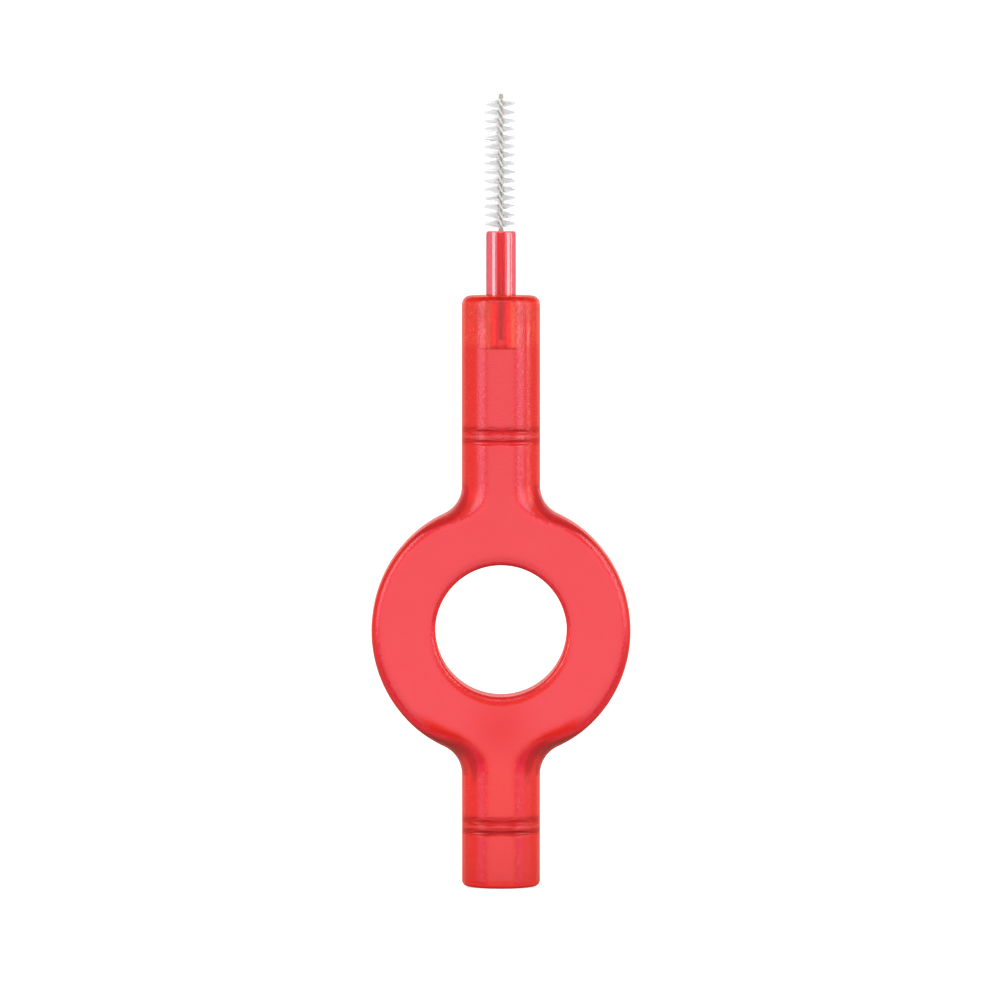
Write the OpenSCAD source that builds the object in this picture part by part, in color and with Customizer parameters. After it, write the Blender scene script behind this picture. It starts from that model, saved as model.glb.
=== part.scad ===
// Interdental brush: a finger ring with a short arm above and below it, moulded in one translucent piece, a
// moulded shank pushed into the upper arm, and a folded, twisted wire that clamps rows of nylon filaments.
// Millimetres. The brush points up along +Z. The ring's hole runs along Y and its front faces -Y.
// The origin is the centre of the lower arm's flat end.

/* [Finger ring] */
// Outside diameter of the ring
ring_d = 20.9; // [18:0.1:28]
// Diameter of the hole through the ring
ring_hole_d = 10.6; // [7:0.2:12]
// Thickness of the ring from front to back
ring_thick = 6; // [5:0.1:7.5]
// Rounding of the ring's outer edges
ring_rim_r = 0.9; // [0.3:0.1:1.4]
// Rounding of the edges of the hole
hole_rim_r = 0.5; // [0.2:0.1:1]

/* [Arms] */
// Diameter of both arms
arm_d = 6.3; // [5:0.05:7.5]
// Distance from the ring's centre to the end of the upper arm
upper_arm_reach = 27; // [24:0.1:36]
// Distance from the ring's centre to the end of the lower arm
lower_arm_reach = 20.8; // [19:0.1:32]
// Rounding of the upper arm's end
upper_end_r = 0.68; // [0.2:0.02:1]
// Rounding of the lower arm's end
lower_end_r = 0.45; // [0.2:0.05:1]
// Radius of the hollow corner between an arm and the ring, seen from the front
corner_r = 2.58; // [1.5:0.02:3.4]
// Rounding of that corner's front and back edges
corner_rim_r = 2.15; // [1:0.05:2.15]

/* [Cap grooves] */
// Distance from the ring's centre to the middle of each pair of grooves
groove_reach = 15.75; // [15:0.05:18]
// Height of one groove
groove_h = 0.65; // [0.4:0.05:0.9]
// Depth of a groove at the front and back of the arm
groove_depth = 0.22; // [0.1:0.02:0.3]
// Width over which a groove shows, seen from the front
groove_w = 5.8; // [4:0.1:6.4]
// Height of the ridge left between the two grooves of a pair
groove_ridge_h = 0.3; // [0.2:0.05:0.8]

/* [Brush shank] */
// Diameter of the shank
shank_d = 2.4; // [1.8:0.05:3]
// Whole length of the shank
shank_len = 9.5; // [7:0.1:13]
// Depth of the shank's seat in the upper arm
shank_seat = 4.3; // [3:0.1:6]
// Rounding of the shank's outer end
shank_rim_r = 0.18; // [0.05:0.01:0.4]
// Rounding of the shank's inner end
shank_foot_r = 0.4; // [0.1:0.05:0.7]
// Space round the shank in its socket
socket_gap = 0.03; // [0.02:0.01:0.1]
// Rounding of the socket's mouth
socket_rim_r = 0.15; // [0.05:0.01:0.4]

/* [Twisted wire] */
// Diameter of the wire before it is twisted
wire_d = 0.19; // [0.14:0.01:0.26]
// Height of one full turn of the twist
twist_pitch = 1.38; // [1.1:0.02:1.8]
// Length of the wire that stands out of the shank
wire_reach = 11.1; // [11.1:0.1:14]
// Thickness of the shank's inner end below the hidden end of the wire
shank_floor = 0.7; // [0.5:0.1:6]
// Space round the twisted wire in the shank
wire_gap = 0.01; // [0.01:0.01:0.05]

/* [Filaments] */
// Rows of filaments along the wire, one for each half turn
row_count = 15; // [8:1:15]
// Filaments clamped in one row, each of which shows as two strands
row_filaments = 14; // [12:1:16]
// Diameter across the filaments' tips
brush_d = 2.52; // [1.9:0.02:4]
// Diameter of one filament
filament_d = 0.08; // [0.06:0.01:0.09]
// Distance from the shank's end to the middle of the lowest row
first_row = 0.6; // [0.6:0.05:1.2]
// Space that the clamped filaments hold open between the wire's two legs
filament_bed = 0.05; // [0.03:0.01:0.07]

/* [Hidden] */
$fn = 96;
ROW_NAMES = [
    "filament_row_01", "filament_row_02", "filament_row_03", "filament_row_04", "filament_row_05",
    "filament_row_06", "filament_row_07", "filament_row_08", "filament_row_09", "filament_row_10",
    "filament_row_11", "filament_row_12", "filament_row_13", "filament_row_14", "filament_row_15"
];

// Overrun of a cut past the face that it opens
cut = 0.5;
// Depth to which the hollow corner's surface bites into the arm and the ring
corner_bite = 0.05;

half_thick = ring_thick / 2;
ring_r = ring_d / 2;
arm_r = arm_d / 2;
ring_z = lower_arm_reach;
upper_end_z = ring_z + upper_arm_reach;
// The arms start at the middle of the ring's band
arm_start = (ring_r + ring_hole_d / 2) / 2;

// Centre of the hollow corner beside the upper arm, from the ring's centre: it lies one corner_r from the
// arm's side and from the ring's edge
corner_x = arm_r + corner_r - corner_bite;
corner_z = sqrt(pow(ring_r + corner_r - corner_bite, 2) - pow(corner_x, 2));
corner_reach = norm([corner_x, corner_z]);
// The web begins where its surface leaves the arm's side
corner_top_z = corner_z - sqrt(pow(corner_r, 2) - pow(corner_r - corner_bite, 2));
corner_sweep_r = norm([corner_x, corner_z - arm_start]);

// A groove's floor is an arc through its deepest point and the two ends of its width
groove_end_y = sqrt(pow(arm_r, 2) - pow(groove_w / 2, 2));
groove_floor_y = half_thick - groove_depth;
groove_rise = groove_floor_y - groove_end_y;
groove_floor_r = (pow(groove_w / 2, 2) + pow(groove_rise, 2)) / (2 * groove_rise);
groove_cut_r = (pow(groove_h / 2, 2) + pow(groove_depth, 2)) / (2 * groove_depth);
groove_step = (groove_h + groove_ridge_h) / 2;

shank_foot_z = upper_end_z - shank_seat;
mouth_z = shank_foot_z + shank_len;
socket_r = shank_d / 2 + socket_gap;

wire_r = wire_d / 2;
// Distance of each leg's centre from the brush's axis, and the radius of the pair
leg_offset = (wire_d + filament_bed) / 2;
pair_r = leg_offset + wire_r;
wire_top_z = mouth_z + wire_reach;
// Length of the wire inside the shank
wire_tail = shank_len - shank_floor;
// The legs end where the fold over the tip begins
leg_top_z = wire_top_z - pair_r;
row_h = twist_pitch / 2;
first_row_z = mouth_z + first_row;

// Sides of the wire's section, rings in one turn and rings over the fold
WIRE_SIDES = 6;
TURN_RINGS = 8;
FOLD_RINGS = 6;
// Half of the angle over which the fold's direction is taken
FOLD_STEP = 1;
// Sides of a filament, and corners of the section of the bed that it is clamped in
FILAMENT_SIDES = 3;
BED_CORNERS = 4;

// Angle of the filaments at a height: the twist is left-handed, so it falls as the height grows
function filament_angle(z) = -360 * (z - first_row_z) / twist_pitch;
// The wire's legs stand at right angles to the filaments that they clamp
function leg_angle(z) = filament_angle(z) + 90;
function flat_unit(a) = [cos(a), sin(a), 0];
function unit(v) = v / norm(v);

// Point of the folded wire's centre line. side is 1 on one leg and -1 on the other
function leg_point(z, side) = side * leg_offset * flat_unit(leg_angle(z)) + [0, 0, z];
// Over the tip the line turns through half a circle and keeps the twist's slope at both legs
function fold_point(a) =
    leg_offset * cos(a) * flat_unit(leg_angle(leg_top_z + leg_offset * sin(a)))
    + [0, 0, leg_top_z + leg_offset * sin(a)];
function fold_out(a) = cos(a) * flat_unit(leg_angle(leg_top_z + leg_offset * sin(a))) + [0, 0, sin(a)];

// Heights of a leg's rings from low to high, an even step apart
function leg_rings(low, high) = ceil((high - low) / twist_pitch * TURN_RINGS);
function leg_heights(low, high) =
    [for (i = [0 : leg_rings(low, high)]) low + (high - low) * i / leg_rings(low, high)];
function reversed(list) = [for (i = [len(list) - 1 : -1 : 0]) list[i]];

// Each ring is a centre, the way out from the bend and the way along the line
function leg_slope(z, side) =
    unit([0, 0, twist_pitch] - side * 2 * PI * leg_offset * flat_unit(leg_angle(z) + 90));
function leg_frames(low, high, side) = [
    for (z = leg_heights(low, high))
    [leg_point(z, side), side * flat_unit(leg_angle(z)), leg_slope(z, side)]
];
function turned_round(frames) = [for (f = reversed(frames)) [f[0], f[1], -f[2]]];
function fold_frames() = [
    for (i = [1 : FOLD_RINGS - 1])
    let (a = 180 * i / FOLD_RINGS)
    [fold_point(a), fold_out(a), unit(fold_point(a + FOLD_STEP) - fold_point(a - FOLD_STEP))]
];

// Corners of one ring of the tube. A ring at a cut end lies flat at that end's height
function ring_corners(frame, flat) =
    let (
        along = flat ? [0, 0, sign(frame[2][2])] : frame[2],
        out = unit(frame[1] - (frame[1] * along) * along),
        across = cross(along, out)
    )
    [for (k = [0 : WIRE_SIDES - 1])
        let (a = 360 * k / WIRE_SIDES)
        frame[0] + wire_r * (cos(a) * out + sin(a) * across)];

function tube_faces(rings) = concat(
    [[for (k = [WIRE_SIDES - 1 : -1 : 0]) k]],
    [for (i = [0 : rings - 2], k = [0 : WIRE_SIDES - 1])
        let (a = i * WIRE_SIDES, next = (k + 1) % WIRE_SIDES)
        each [[a + k, a + next, a + WIRE_SIDES + next], [a + k, a + WIRE_SIDES + next, a + WIRE_SIDES + k]]],
    [[for (k = [0 : WIRE_SIDES - 1]) (rings - 1) * WIRE_SIDES + k]]
);

// A tube along a list of rings, whose two ends are cut level
module wire_tube(frames) {
    last = len(frames) - 1;
    points = [for (i = [0 : last]) each ring_corners(frames[i], i == 0 || i == last)];
    polyhedron(points, tube_faces(len(frames)), convexity = 10);
}

// One quarter of a rounded edge's section, outside the corner at the origin
module edge_rounding(r) {
    difference() {
        translate([-cut, -cut]) square(r + cut);
        translate([-cut, r]) square([cut, cut]);
        translate([r, r]) circle(r);
    }
}

// Turns its children's Z axis to Y, with the ring's centre as the middle
module about_ring() {
    translate([0, 0, ring_z]) rotate([90, 0, 0]) children();
}

// Section of the ring's band, right of the axis
module band_section() {
    difference() {
        translate([ring_hole_d / 2, -half_thick]) square([ring_r - ring_hole_d / 2, ring_thick]);
        for (top = [0, 1]) mirror([0, top]) {
            translate([ring_hole_d / 2, -half_thick]) edge_rounding(hole_rim_r);
            translate([ring_r, -half_thick]) mirror([1, 0]) edge_rounding(ring_rim_r);
        }
    }
}

module ring_band() {
    about_ring() rotate_extrude() band_section();
}

// An arm that stands on the ring's centre, as a turned bar with two flats flush with the ring's faces
module arm(reach, end_r) {
    intersection() {
        rotate_extrude() difference() {
            translate([0, arm_start]) square([arm_r, reach - arm_start]);
            translate([arm_r, reach]) rotate(180) edge_rounding(end_r);
        }
        translate([-arm_r, -half_thick, 0]) cube([arm_d, ring_thick, reach + cut]);
    }
}

// Section of the web that fills a hollow corner, at a distance from the corner's centre
module corner_section() {
    difference() {
        translate([corner_r, -half_thick]) square([corner_sweep_r, ring_thick]);
        for (top = [0, 1]) mirror([0, top]) translate([corner_r, -half_thick]) edge_rounding(corner_rim_r);
    }
}

// The web between the arm's side and the ring, beside the arm above the ring's centre
module corner_web() {
    ring_touch_share = ring_r / corner_reach;
    inner_share = arm_start / corner_reach;
    intersection() {
        translate([corner_x, 0, corner_z]) rotate([90, 0, 0]) rotate_extrude() corner_section();
        rotate([90, 0, 0]) translate([0, 0, -half_thick]) linear_extrude(ring_thick) polygon([
            [corner_x, corner_top_z],
            [0, corner_top_z],
            [0, arm_start],
            [corner_x, corner_z] * inner_share,
            [corner_x, corner_z] * ring_touch_share
        ]);
    }
}

// Two grooves across the front or the back of the arm above the ring's centre
module groove_pair() {
    for (step = [-groove_step, groove_step])
        translate([0, groove_floor_r - groove_floor_y, groove_reach + step])
            rotate_extrude() translate([groove_floor_r + groove_cut_r, 0]) circle(groove_cut_r);
}

// The socket that the shank seats in, open at the upper arm's end
module socket() {
    translate([0, 0, shank_foot_z]) cylinder(r = socket_r, h = shank_seat + cut);
    translate([0, 0, upper_end_z]) rotate_extrude() difference() {
        translate([0, -socket_rim_r]) square([socket_r + socket_rim_r, socket_rim_r + cut]);
        translate([socket_r + socket_rim_r, -socket_rim_r]) circle(socket_rim_r);
    }
}

module ring_handle() {
    color([0.94, 0.34, 0.33]) difference() {
        union() {
            ring_band();
            translate([0, 0, ring_z]) {
                arm(upper_arm_reach, upper_end_r);
                mirror([0, 0, 1]) arm(lower_arm_reach, lower_end_r);
                for (side = [0, 1], down = [0, 1]) mirror([side, 0, 0]) mirror([0, 0, down]) corner_web();
            }
        }
        translate([0, 0, ring_z])
            for (back = [0, 1], down = [0, 1]) mirror([0, back, 0]) mirror([0, 0, down]) groove_pair();
        socket();
    }
}

module brush_shank() {
    color([0.89, 0.24, 0.2]) difference() {
        translate([0, 0, shank_foot_z]) rotate_extrude() difference() {
            square([shank_d / 2, shank_len]);
            translate([shank_d / 2, 0]) mirror([1, 0]) edge_rounding(shank_foot_r);
            translate([shank_d / 2, shank_len]) rotate(180) edge_rounding(shank_rim_r);
        }
        translate([0, 0, mouth_z - wire_tail]) cylinder(r = pair_r + wire_gap, h = wire_tail + cut);
    }
}

// The two legs' hidden ends, moulded into the shank
module wire_tail_in_shank() {
    color([0.72, 0.72, 0.7])
        for (side = [-1, 1]) wire_tube(leg_frames(mouth_z - wire_tail, mouth_z, side));
}

// The wire that shows: up one leg, over the fold at the tip and down the other leg
module twisted_wire() {
    color([0.72, 0.72, 0.7]) wire_tube(concat(
        leg_frames(mouth_z, leg_top_z, 1),
        fold_frames(),
        turned_round(leg_frames(mouth_z, leg_top_z, -1))
    ));
}

// One filament across the axis, as a straight rod
module filament() {
    rotate([0, 90, 0]) linear_extrude(brush_d, center = true) circle(filament_d / 2, $fn = FILAMENT_SIDES);
}

// One row: its filaments, and the slice of them that the wire's legs clamp between them
module filament_row(index) {
    low_z = first_row_z + (index - 1 / 2) * row_h;
    color([0.93, 0.93, 0.92]) union() {
        translate([0, 0, low_z]) rotate(filament_angle(low_z))
            linear_extrude(row_h, twist = 180, slices = row_filaments, segments = BED_CORNERS)
            square([2 * pair_r, filament_bed], center = true);
        for (i = [0 : row_filaments - 1])
            let (z = low_z + (i + 1 / 2) * row_h / row_filaments)
            translate([0, 0, z]) rotate(filament_angle(z)) filament();
    }
}

ring_handle();
brush_shank();
wire_tail_in_shank();
twisted_wire();
for (i = [0 : row_count - 1])
    filament_row(i);
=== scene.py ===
"""Interdental brush: a translucent finger-ring handle, a glossy shank, a twisted wire and its filaments.

Run as a script in Blender 4.5. Metres, +Z up, the ring's front faces -Y and the brush stands on z = 0.
"""

import bmesh
import bpy
import numpy as np
from bpy.props import FloatProperty, FloatVectorProperty, IntProperty, PointerProperty
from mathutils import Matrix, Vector


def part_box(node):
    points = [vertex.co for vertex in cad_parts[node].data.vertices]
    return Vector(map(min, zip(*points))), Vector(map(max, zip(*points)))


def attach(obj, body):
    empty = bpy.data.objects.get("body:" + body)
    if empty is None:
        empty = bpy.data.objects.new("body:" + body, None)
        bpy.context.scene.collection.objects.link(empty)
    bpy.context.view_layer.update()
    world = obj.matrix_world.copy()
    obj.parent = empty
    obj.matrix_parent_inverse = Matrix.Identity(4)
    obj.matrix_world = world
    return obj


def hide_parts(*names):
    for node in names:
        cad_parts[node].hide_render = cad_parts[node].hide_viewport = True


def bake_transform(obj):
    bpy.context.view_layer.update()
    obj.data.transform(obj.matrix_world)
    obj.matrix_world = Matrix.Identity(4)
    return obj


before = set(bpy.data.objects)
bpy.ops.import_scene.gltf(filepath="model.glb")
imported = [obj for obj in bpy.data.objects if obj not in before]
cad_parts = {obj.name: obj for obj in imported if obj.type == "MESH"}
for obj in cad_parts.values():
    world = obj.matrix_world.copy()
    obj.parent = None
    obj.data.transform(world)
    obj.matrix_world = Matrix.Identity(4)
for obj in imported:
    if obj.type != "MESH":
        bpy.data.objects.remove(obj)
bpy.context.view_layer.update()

bl_info = {
    "name": "Interdental brush",
    "version": (1, 0, 0),
    "blender": (4, 5, 0),
    "location": "3D View > Sidebar > Brush",
    "description": "Dresses the interdental brush's solids with moulded plastic, wire and nylon filaments",
    "category": "Add Mesh",
}

MM = 0.001

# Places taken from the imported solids
HANDLE_LOW, HANDLE_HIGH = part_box("ring_handle")
SHANK_LOW, SHANK_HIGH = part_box("brush_shank")
TAIL_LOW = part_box("wire_tail_in_shank")[0]
WIRE_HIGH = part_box("twisted_wire")[1]
ROW_NODES = sorted(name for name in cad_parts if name.startswith("filament_row"))


def length(name, description, default):
    """A length property. It is in metres, and its default is given in millimetres."""
    return FloatProperty(name=name, description=description, default=default * MM, unit="LENGTH", precision=6)


def colour(name, description, default):
    """A colour property."""
    return FloatVectorProperty(name=name, description=description, default=default, subtype="COLOR",
                               size=3, min=0.0, max=1.0)


class HandleSettings(bpy.types.PropertyGroup):
    """Sizes and colour of the ring handle."""
    ring_z: length("Ring height", "Height of the ring's centre", 20.8)
    ring_r: length("Ring radius", "Outside radius of the finger ring", 10.45)
    hole_r: length("Hole radius", "Radius of the hole through the ring", 5.3)
    half_thick: length("Half thickness", "Distance from the middle plane to the flat face", 3.0)
    ring_rim_r: length("Ring edge rounding", "Rounding of the ring's outer edges", 0.9)
    hole_rim_r: length("Hole edge rounding", "Rounding of the edges of the hole", 0.5)
    arm_r: length("Arm radius", "Radius of both arms", 3.15)
    corner_r: length("Corner radius", "Radius of the hollow corners beside the arms", 2.58)
    upper_end_r: length("Upper end rounding", "Rounding of the upper arm's end", 0.68)
    lower_end_r: length("Lower end rounding", "Rounding of the lower arm's end", 0.45)
    lower_crown: length("Lower end crown", "Height by which the lower arm's end curves up at its sides", 0.12)
    groove_reach: length("Groove distance", "Half of the distance between the two groove pairs", 15.75)
    groove_drop: length("Groove drop", "Distance of the pairs' middle under the ring's centre", 0.13)
    groove_h: length("Groove height", "Height of one groove", 0.58)
    groove_depth: length("Groove depth", "Depth of a groove in the flat", 0.13)
    groove_w: length("Groove width", "Width over which a groove shows", 5.2)
    ridge_h: length("Ridge height", "Height of the ridge between two grooves", 0.3)
    socket_r: length("Socket radius", "Radius of the shank's socket", 1.23)
    socket_rim_r: length("Socket rounding", "Rounding of the socket's mouth", 0.15)
    socket_floor_r: length("Socket floor rounding", "Rounding between the socket's wall and floor", 0.15)
    tint: colour("Tint", "Colour of light that has gone through the plastic", (0.98, 0.45, 0.3))


class ShankSettings(bpy.types.PropertyGroup):
    """Sizes and colour of the shank."""
    radius: length("Radius", "Radius of the shank", 1.2)
    foot_r: length("Foot rounding", "Rounding of the inner end", 0.12)
    rim_r: length("Rim rounding", "Rounding of the outer end", 0.18)
    tint: colour("Tint", "Colour of light that has gone through the plastic", (0.985, 0.48, 0.4))


class WireSettings(bpy.types.PropertyGroup):
    """Sizes and colour of the folded, twisted wire."""
    wire_r: length("Wire radius", "Radius of the wire", 0.1)
    leg_offset: length("Leg offset", "Distance of each leg from the brush's axis", 0.106)
    pitch: length("Pitch", "Height of one full turn of the twist", 1.38)
    first_row_z: length("First row", "Height of the lowest row of filaments", 53.6)
    bend_h: length("Bend length", "Height over which the neck bends", 1.7)
    steel: colour("Steel", "Colour of the wire", (0.79, 0.74, 0.69))


class FilamentSettings(bpy.types.PropertyGroup):
    """Sizes and colour of the filaments."""
    tip_r: length("Tuft radius", "Distance of the filaments' tips from the tuft's middle", 1.31)
    shift: length("Tuft shift", "Distance of the trimmed tuft's middle to the left of the wire", 0.115)
    filament_r: length("Filament radius", "Radius of one filament", 0.023)
    per_row: IntProperty(name="Filaments per row", description="Filaments in one half turn", default=20)
    seed: IntProperty(name="Seed", description="Start of the filaments' small differences", default=7)
    nylon: colour("Nylon", "Colour of the filaments", (0.95, 0.955, 0.96))


class StageSettings(bpy.types.PropertyGroup):
    """Place and lens of the camera."""
    camera_y: length("Camera distance", "Distance of the camera in front of the brush", 2000)
    camera_z: length("Camera height", "Height of the camera", 112.5)
    camera_x: length("Camera side", "Place of the camera to the right", -0.08)
    aim_z: length("Aim height", "Height that the camera looks at over the brush's axis", 31.28)
    lens: FloatProperty(name="Lens", description="Focal length on a 36 mm sensor", default=893.0, unit="CAMERA")


# ---- shared mesh helpers

# Points nearer to each other than this are one point; least width that is rounded
MERGE, LEAST_WIDTH = 2e-8, 1e-9


def ramp(value, start, end):
    """0 up to start and 1 from end on, straight between. The end may be the smaller."""
    return np.clip((value - start) / (end - start), 0, 1)


def smooth_step(value, start, end):
    """3t^2 - 2t^3, where t is the ramp from start to end."""
    t = ramp(value, start, end)
    return t * t * (3 - 2 * t)


def bell(distance, width):
    """exp(-(d / w)^2), a smooth hump of height 1."""
    return np.exp(-(distance / width) ** 2)


def smooth_min(a, b, k):
    """The smaller of a and b, less h*h*k/4 where h = max(k - |a - b|, 0) / k, which rounds where they cross."""
    k = np.maximum(k, LEAST_WIDTH)
    h = np.maximum(k - np.abs(a - b), 0) / k
    return np.minimum(a, b) - h * h * k / 4


def quarter_arc(count):
    """Angles from 0 to a quarter turn in even steps, both ends included."""
    return np.linspace(0, np.pi / 2, count + 1)


def grid_quads(rows, columns, close_rows=False, close_columns=False):
    """Quads of a grid whose point (i, j) has index i * columns + j: corners (i, j), (i, j+1), (i+1, j+1) and
    (i+1, j). A closed direction goes on from its last line to its first."""
    i, j = np.meshgrid(
        np.arange(rows if close_rows else rows - 1),
        np.arange(columns if close_columns else columns - 1),
        indexing="ij",
    )
    up, right = (i + 1) % rows, (j + 1) % columns
    quads = np.stack([i * columns + j, i * columns + right, up * columns + right, up * columns + j], -1)
    return quads.reshape(-1, 4)


def joined(parts):
    """Points and faces of several grids in one list."""
    starts = np.cumsum([0] + [len(points) for points, _ in parts[:-1]])
    return (np.concatenate([points for points, _ in parts]),
            np.concatenate([faces + start for (_, faces), start in zip(parts, starts)]))


def make_piece(name, points, faces, material):
    """A smooth-shaded mesh object from points (n, 3) and faces (m, 4); doubles merged, normals outward."""
    mesh = bpy.data.meshes.new(name)
    used, index = np.unique(faces, return_inverse=True)
    mesh.from_pydata(points[used], [], index.reshape(faces.shape).tolist())
    mesh.validate()
    edit = bmesh.new()
    edit.from_mesh(mesh)
    bmesh.ops.remove_doubles(edit, verts=edit.verts, dist=MERGE)
    bmesh.ops.dissolve_degenerate(edit, edges=edit.edges, dist=MERGE)
    bmesh.ops.recalc_face_normals(edit, faces=edit.faces)
    edit.to_mesh(mesh)
    edit.free()
    mesh.shade_smooth()
    mesh.materials.append(material)
    piece = bpy.data.objects.new(name, mesh)
    bpy.context.scene.collection.objects.link(piece)
    return piece


def vectors(values, name):
    """The vectors of a mesh's list as an array (n, 3)."""
    array = np.zeros(len(values) * 3, np.float32)
    values.foreach_get(name, array)
    return array.reshape(-1, 3)


def store(piece, name, values):
    """Stores a value on each vertex, under the name by which a material reads it."""
    layer = piece.data.attributes.new(name, "FLOAT", "POINT")
    layer.data.foreach_set("value", np.ascontiguousarray(values, np.float32))


# ---- shapes of the handle

# The ring's rounding turns into the arm's from this far under the ring's end to this far under the corner's centre
SHARE_START, SHARE_END = 1.6 * MM, 1.0 * MM
# Widths over which the edges of the flats and the grooves are rounded
FLAT_EDGE, GROOVE_EDGE = 0.08 * MM, 0.06 * MM
# Height of a groove's steep side, and of that side with the floor
GROOVE_WALL, GROOVE_FLOOR = 0.2 * MM, 0.32 * MM
# Space between the socket's floor and the shank's foot
SOCKET_SPACE = 0.02 * MM

# Steps of the outline: half of the ring's arc, a hollow corner, a quarter of an arm's section
RING_STEPS, CORNER_STEPS, ARM_STEPS = 56, 24, 30
# Steps from the outline to the hole: outer rounding, face, hole's rounding, hole's wall and outer wall
RIM_STEPS, FACE_STEPS, HOLE_RIM_STEPS, WALL_STEPS = 12, 18, 8, 6
# Heights between an arm's rows and between those near the grooves; how far those reach past the grooves, and how
# near to them another row may lie
ROW_H, FINE_ROW_H, FINE_PAST, FINE_NEAR = 0.34 * MM, 0.035 * MM, 0.06 * MM, 0.02 * MM
# Steps of an arm's end rounding and of the socket's roundings; rows of the upper end face, of the socket's wall and
# of the lower end face; shares of the socket's radius at its floor's rows
END_STEPS, SOCKET_STEPS = 10, 6
MOUTH_ROWS, SOCKET_ROWS, END_ROWS = 5, 12, 12
SOCKET_FLOOR = np.array([1, 0.3, 0])
# Flat of a section that has none
NO_FLAT = 1.0


class HandleShape:
    """The handle's sizes and the fields that the ring and the arms are made from. x and z start at the ring's
    centre."""

    def __init__(self, s):
        self.s = s
        self.centre_x = s.arm_r + s.corner_r
        self.centre_z = np.sqrt((s.ring_r + s.corner_r) ** 2 - self.centre_x ** 2)
        self.touch = np.arctan2(self.centre_z, self.centre_x)
        self.touch_z = s.ring_r * np.sin(self.touch)

    def arm_share(self, z):
        """0 beside the ring, 1 in the corner's last part and beside the arm, the smooth step of |z| between."""
        return smooth_step(np.abs(z), self.touch_z - SHARE_START, self.centre_z - SHARE_END)

    def edge_distance(self, x, z):
        """Distance to the outline: R - r beside the ring's arc, |p - C| - corner_r in the hollow corner,
        arm_r - |x| beside the arm."""
        s, x, z = self.s, np.abs(x), np.abs(z)
        ring = s.ring_r - np.hypot(x, z)
        corner = np.hypot(x - self.centre_x, z - self.centre_z) - s.corner_r
        by_ring = np.arctan2(z, x) < self.touch
        return np.maximum(np.where(by_ring, ring, np.where(z > self.centre_z, s.arm_r - x, corner)), 0)

    def half_depth(self, x, z):
        """Half of the depth at a point: the smooth smaller of the flat's half thickness and
        (H - e) + sqrt(e^2 - (e - d)^2), where d is the distance to the outline, and the rounding e and the height
        H grow from the ring's to the arm's. The hole's edge takes its own rounding off."""
        s, share = self.s, self.arm_share(z)
        high = s.half_thick + (s.arm_r - s.half_thick) * share
        rim = s.ring_rim_r + (s.arm_r - s.ring_rim_r) * share
        d = np.minimum(self.edge_distance(x, z), rim)
        body = (high - rim) + np.sqrt(np.maximum(rim ** 2 - (rim - d) ** 2, 0))
        body = smooth_min(s.half_thick, body, FLAT_EDGE * share)
        w = np.clip(np.hypot(x, z) - s.hole_r, 0, s.hole_rim_r)
        hole = s.half_thick - s.hole_rim_r + np.sqrt(np.maximum(s.hole_rim_r ** 2 - (s.hole_rim_r - w) ** 2, 0))
        return np.minimum(body, hole)

    def past_ridge(self, z):
        """Distance of a height from the ridge between an arm's grooves, positive on the side away from the ring."""
        return np.abs(z + self.s.groove_drop) - self.s.groove_reach

    def groove_share(self, z):
        """Share of a groove's depth at a height: with u the distance beyond the ridge's side, the smooth step of u
        over GROOVE_WALL, times 1 less the smooth step from GROOVE_FLOOR to the groove's height."""
        u = np.abs(self.past_ridge(z)) - self.s.ridge_h / 2
        return smooth_step(u, 0, GROOVE_WALL) * (1 - smooth_step(u, GROOVE_FLOOR, self.s.groove_h))

    def groove_depths(self, x, z, half):
        """half cut by the two grooves of the arm. The floor is sqrt(r^2 - x^2) - offset, where r shrinks with the
        groove's share to the arc through its deepest point."""
        s = self.s
        half_w, floor_y = s.groove_w / 2, s.half_thick - s.groove_depth
        rise = floor_y - np.sqrt(s.arm_r ** 2 - half_w ** 2)
        floor_r = (half_w ** 2 + rise ** 2) / (2 * rise)
        depth = self.groove_share(z)
        r = floor_r + (1 - depth) * 2 * s.groove_depth
        floor = np.sqrt(np.maximum(r ** 2 - x ** 2, 0)) - (floor_r - floor_y)
        return np.where(depth > 0, smooth_min(half, floor, GROOVE_EDGE), half)


def outline(shape):
    """The closed outline about the ring's centre, from the right anticlockwise: the ring's arc R(cos a, sin a), the
    hollow corner C + corner_r(-cos g, -sin g), and the level line where the arm starts, x = arm_r sin b; then each
    mirrored."""
    s = shape.s
    a = np.linspace(0, shape.touch, RING_STEPS + 1)
    g = np.linspace(shape.touch, 0, CORNER_STEPS + 1)[1:]
    b = quarter_arc(ARM_STEPS)[::-1][1:]
    x = np.concatenate([s.ring_r * np.cos(a), shape.centre_x - s.corner_r * np.cos(g), s.arm_r * np.sin(b)])
    z = np.concatenate([s.ring_r * np.sin(a), shape.centre_z - s.corner_r * np.sin(g),
                        np.full(ARM_STEPS, shape.centre_z)])
    x, z = np.append(x, -x[-2::-1]), np.append(z, z[-2::-1])
    return np.append(x[:-1], -x[:-1]), np.append(z[:-1], -z[:-1])


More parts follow.
